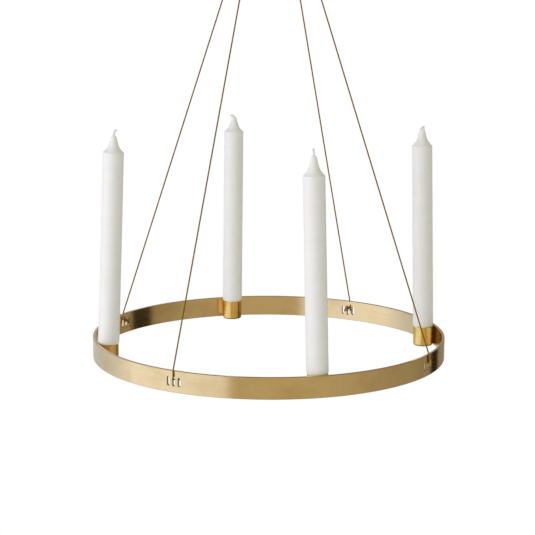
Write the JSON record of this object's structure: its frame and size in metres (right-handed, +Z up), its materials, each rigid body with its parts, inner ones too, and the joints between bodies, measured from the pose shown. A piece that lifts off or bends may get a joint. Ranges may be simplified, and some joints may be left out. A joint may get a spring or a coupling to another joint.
{
  "type": "advent candle holder",
  "caption": "Hanging advent wreath: a flat brass band with candle cups on its inner face, white dinner candles, and brown cords that run up to a brass hanging ring.",
  "frame": {"origin": "where a hook bears inside the hanging ring, at the lowest point of the wire's top stretch", "axes": "+Z up; the band hangs below at negative Z; the cups stand at -Y (front), +X (right), +Y (back) and -X (left), and the cords leave the band on the diagonals"},
  "size_m": [0.3799, 0.38, 0.5785],
  "materials": {
    "band_brass": "flat strip, finely brushed along its length, satin",
    "cup_brass": "drawn and turned, satin",
    "ring_brass": "drawn wire, satin",
    "solder": "hard solder, dull and darkened",
    "candle_wax": "dipped candle wax, smooth, slightly translucent",
    "wick_cotton": "braided cotton, waxed",
    "cord_brown": "round waxed cord",
    "knot_brown": "round waxed cord, drawn tight"
  },
  "bodies": {
    "hook_ring": {"hanging_ring": "ring_brass"},
    "wreath": {"ring_band": "band_brass", "cup_front": "cup_brass", "cup_right": "cup_brass", "cup_back": "cup_brass", "cup_left": "cup_brass", "solder_seams": "solder", "cord_front_left": "cord_brown", "cord_front_right": "cord_brown", "cord_back_left": "cord_brown", "cord_back_right": "cord_brown", "knot_front_left": "knot_brown", "knot_front_right": "knot_brown", "knot_back_left": "knot_brown", "knot_back_right": "knot_brown", "hitch_left": "cord_brown", "hitch_right": "cord_brown"},
    "front_candle": {"candle_front": "candle_wax", "wick_front": "wick_cotton"},
    "right_candle": {"candle_right": "candle_wax", "wick_right": "wick_cotton"},
    "back_candle": {"candle_back": "candle_wax", "wick_back": "wick_cotton"},
    "left_candle": {"candle_left": "candle_wax", "wick_left": "wick_cotton"}
  },
  "joints": [
    {"name": "swing", "type": "hinge", "parent": "hook_ring", "child": "wreath", "pos_m": [0, 0, -0.05238], "axis": [1, 0, 0], "range_deg": [-20, 20]},
    {"name": "lift_front", "type": "slide", "parent": "wreath", "child": "front_candle", "axis": [-0.0253, 0.0068, 0.9997], "range_m": [0, 0.03]},
    {"name": "lift_right", "type": "slide", "parent": "wreath", "child": "right_candle", "axis": [-0.0253, 0.0068, 0.9997], "range_m": [0, 0.03]},
    {"name": "lift_back", "type": "slide", "parent": "wreath", "child": "back_candle", "axis": [0.0084, -0.0023, 1], "range_m": [0, 0.03]},
    {"name": "lift_left", "type": "slide", "parent": "wreath", "child": "left_candle", "axis": [0.0354, -0.0095, 0.9993], "range_m": [0, 0.03]}
  ]
}
